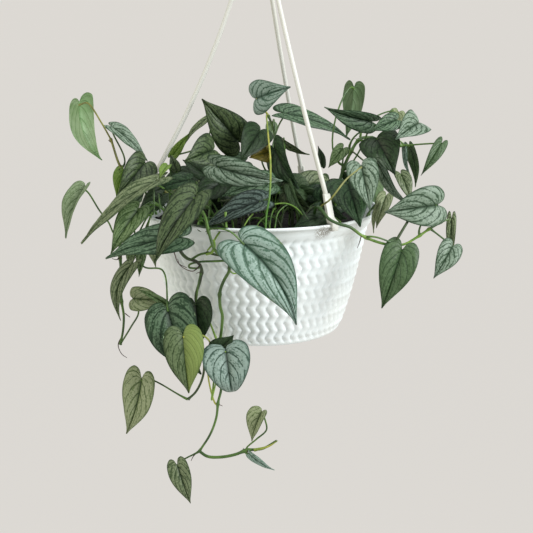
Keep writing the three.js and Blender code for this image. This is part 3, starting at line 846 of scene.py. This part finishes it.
def stalk_path(spec, start, out):
    """From the stem out and up under the blade, into its midrib just past the heart."""
    heart, along, face, across, length = leaf_axes(spec)
    end = heart + along * (0.045 * length) + face * (0.17 * ARCH * length - 0.3)
    end += across * (0.17 * spec["shape"].get("lean", 0) * length)
    if spec["via"]:
        return through([start, start + out * 2.5, *spec["via"], end], 14 * (len(spec["via"]) + 1))
    reach = (end - start).length
    leaving = start + out * (0.4 * reach)
    arriving = end - face * (0.25 * reach) - along * (0.15 * reach)
    return bezier([start, leaving, arriving, end], 16)


def stalk_radius(share):
    """A stalk is sheathed where it leaves the stem and thickens again under the blade."""
    return 0.85 + 0.55 * math.exp(-((share / 0.12) ** 2)) + 0.2 * smooth(0.86, 1, share)


def point_at(path, share):
    """The point of an evenly spaced path at a share of its length, and the direction there."""
    place = share * (len(path) - 1)
    spot = min(int(place), len(path) - 2)
    return path[spot].lerp(path[spot + 1], place - spot), (path[spot + 1] - path[spot]).normalized()


def smooth_path(points, samples, spacing):
    """Evenly spaced points on the curve through the given ones, with so many samples between two."""
    return even(through(points, samples * (len(points) - 1)), spacing)


def stem_paths(stem):
    return [smooth_path(route, 24, STEM_STEP) for route in stem["routes"]]


class PotSettings(bpy.types.PropertyGroup):
    columns: IntProperty(
        name="Columns", description="Upright ribs round the pot", default=64, min=12)
    repeat: FloatProperty(
        name="Repeat", description="Height of one zigzag of a rib", default=0.016, unit="LENGTH")
    relief: FloatProperty(
        name="Relief", description="Depth of the grooves between ribs", default=0.003, unit="LENGTH")
    white: FloatVectorProperty(
        name="White", description="Colour of the plastic", default=colour(238, 246, 247)[:3], subtype="COLOR")


class LeafSettings(bpy.types.PropertyGroup):
    thickness: FloatProperty(
        name="Thickness", description="Thickness of a blade", default=0.0006, unit="LENGTH")
    quilting: FloatProperty(
        name="Quilting", description="Rise between veins as a share of the blade's length", default=0.014)
    waviness: FloatProperty(
        name="Waviness", description="Wave of the margin as a share of the half width", default=0.06)


class StemSettings(bpy.types.PropertyGroup):
    swelling: FloatProperty(
        name="Swelling", description="How much thicker a stem is at a node", default=0.45)
    spacing: FloatProperty(
        name="Spacing", description="Distance between nodes on a bare stem", default=0.046, unit="LENGTH")


class StageSettings(bpy.types.PropertyGroup):
    floor: FloatVectorProperty(
        name="Floor", description="Colour of the floor", default=colour(120, 117, 114)[:3], subtype="COLOR")
    glow: FloatVectorProperty(
        name="Glow", description="Even light that the floor gives off", default=colour(204, 201, 196)[:3],
        subtype="COLOR")
    daylight: FloatVectorProperty(
        name="Daylight", description="Colour of the light all round", default=colour(186, 187, 187)[:3],
        subtype="COLOR")
    key: FloatProperty(
        name="Key light", description="Power of the main light in watts", default=34.0)
    fill: FloatProperty(
        name="Fill light", description="Power of the warm light and of the top one in watts", default=8.0)


class PlantOperator:
    """What the operators share."""

    bl_options = {"REGISTER", "UNDO"}


class HANGING_OT_pot(PlantOperator, bpy.types.Operator):
    """Add the white pot with its zigzag ribs and drain holes"""

    bl_idname = "hanging_plant.pot"
    bl_label = "Pot"

    def execute(self, context):
        settings = context.scene.plant_pot
        columns = settings.columns
        repeat = settings.repeat / MM
        depth = settings.relief / MM
        curve = through([(r, z, 0) for r, z in POT_OUTSIDE[2:]], 400)
        wall = [(p.x, p.y) for p in even(curve, 1.3)][1:]
        profile = POT_INSIDE + POT_LIP + POT_OUTSIDE[:3] + wall

        def push(angle, radius, height, row):
            drop = -height
            fade = smooth(*RIBS_TOP, drop) * smooth(*RIBS_FOOT, drop)
            if row < len(POT_INSIDE) + len(POT_LIP) or fade == 0:
                return radius, height
            swing = math.cos(math.tau * (drop - 77) / repeat)
            zigzag = 1 - 2 * math.acos(0.98 * swing) / math.pi
            place = (angle / math.tau * columns - 0.26 * zigzag) % 1
            ridge = math.sin(math.pi * place) ** 0.55 * (0.76 + 0.24 * swing * swing)
            return radius - depth * (1 - ridge) * fade, height

        bm = new_mesh()
        turned(bm, profile, columns * 10, push)
        ends = [edge for edge in bm.edges if edge.is_boundary]
        holes = [polar(DRAIN_CIRCLE, hole / DRAIN_HOLES * math.tau) for hole in range(DRAIN_HOLES)]
        for level, up in ((POT_INSIDE[0][1], True), (POT_OUTSIDE[-1][1], False)):
            rings = [edge for edge in ends if abs(edge.verts[0].co.z - level) < 0.05]
            for spot in holes:
                place = Matrix.Translation((spot.x, spot.y, level))
                made = bmesh.ops.create_circle(bm, segments=32, radius=DRAIN_RADIUS, matrix=place)["verts"]
                rings += {edge for vertex in made for edge in vertex.link_edges}
            plate = bmesh.ops.triangle_fill(bm, edges=rings, use_beauty=True)["geom"]
            faces = [item for item in plate if isinstance(item, bmesh.types.BMFace)]
            wrong = [face for face in faces if (face.normal.z > 0) != up]
            bmesh.ops.reverse_faces(bm, faces=wrong)
        bmesh.ops.remove_doubles(bm, verts=bm.verts[:], dist=0.001)
        for spot in holes:
            rings = [edge for edge in bm.edges if edge.is_boundary
                     and (edge.verts[0].co.xy - spot.xy).length < DRAIN_RADIUS + 1]
            bmesh.ops.bridge_loops(bm, edges=rings)
        bmesh.ops.recalc_face_normals(bm, faces=bm.faces[:])
        finish_piece("hanging_pot", bm, [white_plastic()], "white_plastic", "pot", sharp=1.2)
        return {"FINISHED"}


def soil_height(radius):
    """The soil lies a little lower towards the wall."""
    return -10 - 5 * (radius / 112) ** 2


class HANGING_OT_soil(PlantOperator, bpy.types.Operator):
    """Add the potting mix with its crumbs"""

    bl_idname = "hanging_plant.soil"
    bl_label = "Potting mix"

    def execute(self, context):
        chance = random.Random(11)
        top = [4 + 3.4 * ring for ring in range(31)]
        profile = [(0.01, -10)] + [(radius, soil_height(radius)) for radius in top] + SOIL_UNDER

        def push(angle, radius, height, row):
            if row <= len(top):
                spot = polar(radius, angle)
                height += 1.6 * noise.noise(spot * 0.12) + 1.2 * noise.noise(spot * 0.35)
            return radius, height

        bm = new_mesh()
        turned(bm, profile, 96, push)
        bmesh.ops.reverse_faces(bm, faces=bm.faces[:])
        for _ in range(420):
            angle = chance.uniform(0, math.tau)
            radius = 108 * math.sqrt(chance.random())
            size = chance.uniform(0.8, 2.6)
            spot = Matrix.Translation(polar(radius, angle, soil_height(radius) - 0.5 + 0.4 * size))
            bent = Matrix.Diagonal((1, chance.uniform(0.5, 1), chance.uniform(0.4, 0.8), 1))
            turn = Matrix.Rotation(chance.uniform(0, 6), 4, "Z")
            bmesh.ops.create_icosphere(bm, subdivisions=1, radius=size, matrix=spot @ turn @ bent)
        # The soil's colours are near black: the potting mix's own dark brown, deepened with painted shade for
        # the shade inside the pot.
        material = finish("potting_mix", soil_material, colour(15, 12, 9), colour(46, 37, 28))
        finish_piece("potting_mix", bm, [material], "soil", "soil", sharp=3)
        return {"FINISHED"}


def arm_path(azimuth, bow):
    """From the hub down to the top of the clip, sagging by bow towards the pot's axis."""
    out = polar(1, math.radians(azimuth))
    top = out * 6 + Vector((0, 0, -62))
    foot = out * 113.3 + Vector((0, 0, 24 - RIM_DROP))
    middle = (top + foot) / 2 - out * (2 * bow)
    return bezier([top, middle, foot], 60)


class HANGING_OT_hanger(PlantOperator, bpy.types.Operator):
    """Add the hub with its hook, and the three arms that clip over the pot's lip"""

    bl_idname = "hanging_plant.hanger"
    bl_label = "Hanger"

    def execute(self, context):
        # The arms take a darker copy of the white plastic: painted shade, so that the lamps leave the thin
        # arms dimmer than the hub.
        painted_shade_plastic = finish("arm_plastic", plastic_material, colour(212, 213, 206), colour(198, 198, 184))
        bm = new_mesh()
        turned(bm, HUB_PROFILE, 48)
        bmesh.ops.reverse_faces(bm, faces=bm.faces[:])
        route = [(0, 0, -60), (0, 0, -40), (8, 0, -28)]
        for step in range(11):
            angle = math.radians(-10 + 21.5 * step)
            route.append((HOOK_RADIUS * math.cos(angle), 0, -12 + HOOK_RADIUS * math.sin(angle)))
        sweep(bm, smooth_path(route, 20, 1.0),
              lambda share: HOOK_ROD * (1 - 0.35 * smooth(0.975, 1, share) ** 2), 20)
        finish_piece("hook_and_hub", bm, [white_plastic()], "white_plastic", "hanger_hub",
                     shift=CROWN, sharp=1.0)
        for side, (azimuth, bow) in ARMS.items():
            bm = new_mesh()
            sweep(bm, even(arm_path(azimuth, bow), 4), ARM_ROD, 20)
            plate = bmesh.new()
            half = CLIP_WIDTH / 2
            corners = [plate.verts.new((r, -half, z - RIM_DROP)) for r, z in CLIP_PROFILE]
            made = bmesh.ops.extrude_face_region(plate, geom=[plate.faces.new(corners)])["geom"]
            moved = [item for item in made if isinstance(item, bmesh.types.BMVert)]
            bmesh.ops.translate(plate, verts=moved, vec=(0, CLIP_WIDTH, 0))
            bmesh.ops.recalc_face_normals(plate, faces=plate.faces[:])
            edges = [edge for edge in plate.edges if edge.calc_face_angle(0) > 0.6]
            bmesh.ops.bevel(plate, geom=edges, offset=0.7, offset_type="OFFSET", segments=3, profile=0.5,
                            affect="EDGES", material=-1, clamp_overlap=True)
            plate.transform(Matrix.Rotation(math.radians(azimuth), 4, "Z"))
            spare = bpy.data.meshes.new("clip")
            plate.to_mesh(spare)
            plate.free()
            bm.from_mesh(spare)
            bpy.data.meshes.remove(spare)
            finish_piece("arm_" + side, bm, [painted_shade_plastic], "white_plastic", "hanger_arm_" + side,
                         shift=CROWN, sharp=1.0)
        return {"FINISHED"}


class HANGING_OT_stems(PlantOperator, bpy.types.Operator):
    """Add the trailing stems with their nodes, and the thin brown roots in the air"""

    bl_idname = "hanging_plant.stems"
    bl_label = "Stems and roots"

    def execute(self, context):
        settings = context.scene.plant_stems
        brown = stem_finish("root_brown")
        chance = random.Random(5)
        for name, stem in PLANT.items():
            bm = new_mesh()
            for number, path in enumerate(stem_paths(stem)):
                length = STEM_STEP * (len(path) - 1)
                nodes = [spec["at"] for spec in stem["leaves"] if spec["route"] == number]
                bare = int(length / (settings.spacing / MM))
                for step in range(1, bare + 1):
                    share = step / (bare + 1)
                    if all(abs(share - at) * length > 14 for at in nodes):
                        nodes.append(share)

                def radius(share, nodes=nodes, length=length):
                    swell = sum(math.exp(-((share - at) * length / 2.4) ** 2) for at in nodes)
                    slim = 1 - 0.25 * smooth(0.5, 1, share)
                    return stem["radius"] * (slim + settings.swelling * min(1, swell))

                sweep(bm, path, radius, 12)
                for at in nodes:
                    if at < 0.12 or at > 0.98:
                        continue
                    spot, way = point_at(path, at)
                    out = way.orthogonal().normalized()
                    out = Matrix.Rotation(chance.uniform(0, 6), 3, way) @ out
                    reach = chance.uniform(2.5, 6)
                    tip = spot + out * reach + Vector((0, 0, -0.4 * reach)) + way * chance.uniform(-2, 2)
                    sweep(bm, bezier([spot, spot + out * (0.6 * reach), tip], 6),
                          lambda share: 0.5 - 0.3 * share, 6, 1)
            finish_piece(name + "_stem", bm, [stem_finish(stem["look"]), brown], "stem", "vine_" + name)
        bm = new_mesh()
        for root in ROOTS:
            sweep(bm, smooth_path(root, 12, 1.0), lambda share: 0.6 - 0.3 * share, 7)
        for _ in range(70):
            angle, reach = chance.uniform(0, math.tau), 26 * math.sqrt(chance.random())
            spot = FIBRES + polar(reach, angle)
            bend = Vector((chance.uniform(-14, 14), chance.uniform(-14, 14), 0))
            rise = Vector((0, 0, chance.uniform(4, 16)))
            sweep(bm, bezier([spot, spot + rise, spot + rise + bend, spot + bend], 10), 0.45, 5)
        finish_piece("air_roots", bm, [brown], "stem")
        bm = new_mesh()
        looks = ["stem_green", "stem_dark", "stem_bright", "stem_yellow", "stem_tall"]
        for look, first, last, points in SHOOTS:
            path = smooth_path(points, 12, 1.2)
            sweep(bm, path, lambda share: first + (last - first) * share, 9, looks.index(look))
        for _ in range(30):
            angle, radius = math.radians(chance.uniform(195, 345)), chance.uniform(50, 100)
            start = polar(radius, angle, -16)
            angle, radius = angle + chance.uniform(-0.5, 0.5), chance.uniform(60, 104)
            stop = polar(radius, angle, -18)
            rise = Vector((0, 0, chance.uniform(12, 44)))
            arc = bezier([start, start + rise, stop + rise, stop], 14)
            sweep(bm, arc, chance.uniform(0.7, 1.1), 7, chance.choice((0, 0, 1)))
        finish_piece("bare_shoots", bm, [stem_finish(look) for look in looks], "stem")
        return {"FINISHED"}


class HANGING_OT_leaves(PlantOperator, bpy.types.Operator):
    """Add each leaf on its stalk"""

    bl_idname = "hanging_plant.leaves"
    bl_label = "Leaves"

    def execute(self, context):
        settings = context.scene.plant_leaves
        for name, stem in PLANT.items():
            paths = stem_paths(stem)
            for number, spec in enumerate(stem["leaves"], 1):
                path = paths[spec["route"]]
                start, way = point_at(path, spec["at"])
                towards = Vector(spec["via"][0] if spec["via"] else spec["heart"]) - start
                out = (towards if spec["at"] > 0.98 else towards - way * towards.dot(way)).normalized()
                bm = new_mesh()
                add_blade(bm, spec, settings)
                sweep(bm, stalk_path(spec, start, out), stalk_radius, 8, 2)
                node = f"leaf_{name}_{number}"
                finish_piece(f"{name}_leaf_{number}", bm, leaf_materials(spec), "leaf", node)
        return {"FINISHED"}


class HANGING_OT_small_leaves(PlantOperator, bpy.types.Operator):
    """Add the small leaves inside the crown and over the back of the rim"""

    bl_idname = "hanging_plant.small_leaves"
    bl_label = "Leaves in the crown"

    def execute(self, context):
        settings = context.scene.plant_leaves
        for name, rows in {**SMALL_LEAVES, "back_rim": self.back_leaves()}.items():
            bm = new_mesh()
            materials = []
            for root, spec in rows:
                own = leaf_materials(spec)
                for material in own:
                    if material not in materials:
                        materials.append(material)
                known = set(bm.faces)
                add_blade(bm, spec, settings)
                sweep(bm, stalk_path(spec, Vector(root), Vector((0, 0, 1))), stalk_radius, 6, 2)
                for face in bm.faces:
                    if face not in known:
                        face.material_index = materials.index(own[face.material_index])
            finish_piece("leaves_" + name, bm, materials, "leaf")
        return {"FINISHED"}

    def back_leaves(self):
        """Leaves in four rings over the back half: inside, near the wall, over the rim and at the middle."""
        chance = random.Random(23)
        rows = []
        for step in range(48):
            angle = math.radians(8 + 164 * (step + 0.5) / 48 + chance.uniform(-4, 4))
            ring = step % 4
            over_rim = ring == 2
            radius = (58, 84, 131, 26)[ring] + chance.uniform(-8, 8) * (1, 1, 0.4, 1.5)[ring]
            reach = chance.uniform(30, 48)
            out = polar(1, angle)
            low = (2, 6, 8, 14)[ring] + chance.uniform(0, 8)
            heart = out * radius + Vector((0, 0, low))
            bend = Matrix.Rotation(chance.uniform(-0.7, 0.7), 3, "Z") @ out
            drop = (4, 4, 34, 6)[ring] * chance.uniform(0.5, 1.3)
            tip = heart + bend * (0.3 * reach if over_rim else reach) + Vector((0, 0, -drop))
            tip.xy = tip.xy * min(1, 150 / tip.xy.length)
            look = chance.choice(("dark", "slate", "silver", "green", "teal", "olive"))
            turn = chance.uniform(150, 200) if over_rim else chance.uniform(-20, 20)
            root = out * (radius * 0.78) + Vector((0, 0, -13))
            rows.append(sprig(root, heart, tip, turn, look, width=chance.uniform(0.8, 1)))
        return rows


class HANGING_OT_stage(PlantOperator, bpy.types.Operator):
    """Add the floor, the lights and the camera"""

    bl_idname = "hanging_plant.stage"
    bl_label = "Stage"

    def execute(self, context):
        settings = context.scene.plant_stage
        bm = new_mesh()
        bowl = through([(radius, height, 0) for radius, height in BOWL], 70)
        turned(bm, [(point.x, point.y) for point in bowl], 96)
        bmesh.ops.reverse_faces(bm, faces=bm.faces[:])
        for face in bm.faces:
            face.smooth = True
        paint = Paint("floor", 0.9)
        paint.set("Base Color", (*settings.floor, 1))
        paint.set("Specular IOR Level", 0.0)
        paint.set("Emission Color", (*settings.glow, 1))
        paint.set("Emission Strength", 1.0)
        new_object("floor", bm, [paint.material])
        world = bpy.data.worlds.new("studio")
        context.scene.world = world
        world.use_nodes = True
        world.node_tree.nodes["Background"].inputs["Color"].default_value = (*settings.daylight, 1)
        self.light("key", (1.5, -0.9, 0.5), 0.9, settings.key, (0.97, 0.99, 1))
        self.light("warm", (-1.5, -0.5, 0.2), 0.9, settings.fill, (1, 0.94, 0.74))
        self.light("top", (0.2, -0.3, 1.2), 1.0, settings.fill, (1, 1, 1))
        camera = bpy.data.objects.new("camera", bpy.data.cameras.new("camera"))
        camera.data.lens = CAMERA_LENS
        camera.data.sensor_width = 36
        camera.location = CAMERA_PLACE
        camera.rotation_euler = (math.radians(CAMERA_PITCH), 0, 0)
        context.scene.collection.objects.link(camera)
        context.scene.camera = camera
        context.scene.view_settings.view_transform = "Standard"
        return {"FINISHED"}

    def light(self, name, place, size, power, tint):
        lamp = bpy.data.lights.new(name, "AREA")
        lamp.size = size
        lamp.energy = power
        lamp.color = tint
        holder = bpy.data.objects.new(name, lamp)
        holder.location = place
        aim = LIGHTS_AIM - Vector(place)
        holder.rotation_euler = aim.to_track_quat("-Z", "Y").to_euler()
        bpy.context.scene.collection.objects.link(holder)


class HANGING_PT_panel(bpy.types.Panel):
    """The plant's pieces and their settings"""

    bl_idname = "HANGING_PT_panel"
    bl_label = "Hanging plant"
    bl_space_type = "VIEW_3D"
    bl_region_type = "UI"
    bl_category = "Hanging plant"

    def draw(self, context):
        column = self.layout.column(align=True)
        for operator in OPERATORS:
            column.operator(operator.bl_idname)
        for name, kind in SETTINGS.items():
            box = self.layout.box()
            for key in kind.__annotations__:
                box.prop(getattr(context.scene, name), key)


SETTINGS = {
    "plant_pot": PotSettings,
    "plant_leaves": LeafSettings,
    "plant_stems": StemSettings,
    "plant_stage": StageSettings,
}
OPERATORS = (
    HANGING_OT_pot, HANGING_OT_soil, HANGING_OT_hanger, HANGING_OT_stems, HANGING_OT_leaves,
    HANGING_OT_small_leaves, HANGING_OT_stage,
)


def register():
    for kind in (*SETTINGS.values(), *OPERATORS, HANGING_PT_panel):
        bpy.utils.register_class(kind)
    for name, kind in SETTINGS.items():
        setattr(bpy.types.Scene, name, PointerProperty(type=kind))


def unregister():
    for name in SETTINGS:
        delattr(bpy.types.Scene, name)
    for kind in reversed((*SETTINGS.values(), *OPERATORS, HANGING_PT_panel)):
        bpy.utils.unregister_class(kind)


def main():
    register()
    bpy.ops.hanging_plant.pot()
    bpy.ops.hanging_plant.soil()
    bpy.ops.hanging_plant.hanger()
    bpy.ops.hanging_plant.stems()
    bpy.ops.hanging_plant.leaves()
    bpy.ops.hanging_plant.small_leaves()
    bpy.ops.hanging_plant.stage()


if __name__ == "__main__":
    main()
